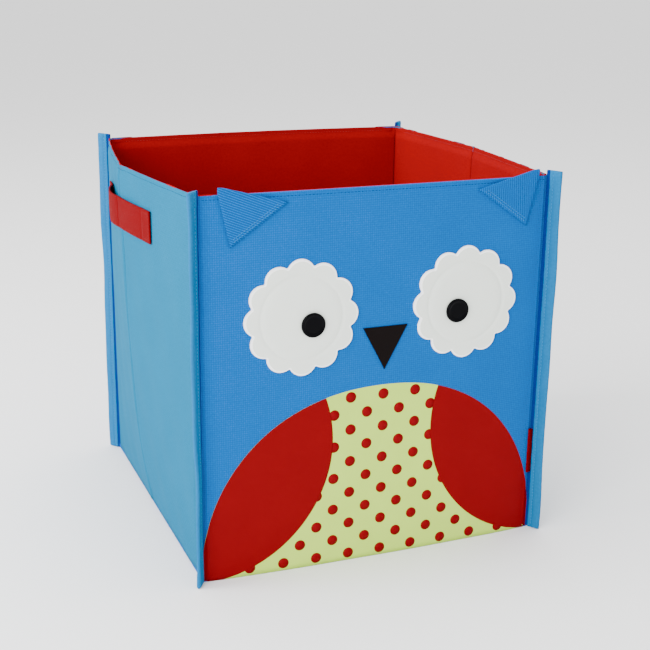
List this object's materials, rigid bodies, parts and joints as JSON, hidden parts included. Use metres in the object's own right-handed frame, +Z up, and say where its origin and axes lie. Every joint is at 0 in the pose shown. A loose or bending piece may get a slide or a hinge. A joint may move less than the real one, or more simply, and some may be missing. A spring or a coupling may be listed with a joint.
{
  "type": "fabric storage bin",
  "caption": "Square folding fabric storage bin with board-stiffened walls, corner bindings, side handles, a lift-up base insert and an animal face on the front.",
  "frame": {"origin": "on the floor under the middle of the bin", "axes": "+Z up, the decorated front faces -Y, +X to the right of someone who looks at the front"},
  "size_m": [0.3446, 0.3446, 0.3449],
  "materials": {
    "blue_canvas": "woven polyester canvas, matt",
    "blue_tape": "folded woven binding tape, matt",
    "red_lining": "plain woven lining, matt",
    "insert_cloth": "plain woven lining, matt",
    "panel_board": "uncoated grey board",
    "red_webbing": "woven webbing, slight sheen",
    "cream_film": "smooth coated cloth, satin",
    "red_film": "smooth coated cloth, satin",
    "white_patch": "soft white leatherette, matt",
    "black_beak": "black leatherette, matt",
    "black_button": "moulded, polished"
  },
  "bodies": {
    "front": {"front_outer": "blue_canvas", "front_board": "panel_board", "front_lining": "red_lining", "belly_patch": "cream_film", "left_wing": "red_film", "right_wing": "red_film", "left_eye_patch": "white_patch", "right_eye_patch": "white_patch", "left_eye_button": "black_button", "right_eye_button": "black_button", "beak": "black_beak", "side_tab": "red_webbing", "base_panel": "blue_canvas", "front_left_binding": "blue_tape", "front_right_binding": "blue_tape"},
    "left_ear": {"left_ear": "blue_canvas"},
    "right_ear": {"right_ear": "blue_canvas"},
    "insert": {"insert_cover": "insert_cloth", "insert_board": "panel_board"},
    "left_front": {"left_front_outer": "blue_canvas", "left_front_board": "panel_board", "left_front_lining": "red_lining", "left_handle_front": "red_webbing"},
    "left_rear": {"left_rear_outer": "blue_canvas", "left_rear_board": "panel_board", "left_rear_lining": "red_lining", "left_handle_rear": "red_webbing"},
    "right_front": {"right_front_outer": "blue_canvas", "right_front_board": "panel_board", "right_front_lining": "red_lining", "right_handle_front": "red_webbing"},
    "right_rear": {"right_rear_outer": "blue_canvas", "right_rear_board": "panel_board", "right_rear_lining": "red_lining", "right_handle_rear": "red_webbing"},
    "back": {"back_outer": "blue_canvas", "back_board": "panel_board", "back_lining": "red_lining", "rear_left_binding": "blue_tape", "rear_right_binding": "blue_tape"}
  },
  "joints": [
    {"name": "side_fold", "type": "hinge", "parent": "front", "child": "left_front", "pos_m": [-0.1573, -0.1524, 0.0057], "axis": [0, 0, -1], "range_deg": [0, 90]},
    {"name": "left_crease", "type": "hinge", "parent": "left_front", "child": "left_rear", "pos_m": [-0.1646, 0.00245, 0.0057], "axis": [0, 0, 1], "range_deg": [0, 180], "deforming": ["left_handle_front", "left_handle_rear"]},
    {"name": "rear_corner_fold", "type": "hinge", "parent": "left_rear", "child": "back", "pos_m": [-0.1573, 0.1573, 0.0057], "axis": [0, 0, -1], "range_deg": [0, 90]},
    {"name": "right_side_fold", "type": "hinge", "parent": "front", "child": "right_front", "pos_m": [0.1573, -0.1524, 0.0057], "axis": [0, 0, 1], "range_deg": [0, 90]},
    {"name": "right_crease", "type": "hinge", "parent": "right_front", "child": "right_rear", "pos_m": [0.1646, 0.00245, 0.0057], "axis": [0, 0, -1], "range_deg": [0, 180], "deforming": ["right_handle_front", "right_handle_rear"]},
    {"name": "insert_lift", "type": "hinge", "parent": "front", "child": "insert", "pos_m": [0, -0.157, 0.0054], "axis": [1, 0, 0], "range_deg": [0, 90]},
    {"name": "left_ear_flap", "type": "hinge", "parent": "front", "child": "left_ear", "pos_m": [-0.1341, -0.1644, 0.295], "axis": [0.8165, 0, 0.5773], "range_deg": [0, 120], "stiffness_Nm_per_rad": 0.003},
    {"name": "right_ear_flap", "type": "hinge", "parent": "front", "child": "right_ear", "pos_m": [0.1381, -0.1644, 0.295], "axis": [0.8165, 0, -0.5773], "range_deg": [0, 120], "stiffness_Nm_per_rad": 0.003}
  ],
  "couplings": [
    {"joint": "left_crease", "follows": "side_fold", "ratio": 2},
    {"joint": "rear_corner_fold", "follows": "side_fold", "ratio": 1},
    {"joint": "right_side_fold", "follows": "side_fold", "ratio": 1},
    {"joint": "right_crease", "follows": "side_fold", "ratio": 2}
  ]
}
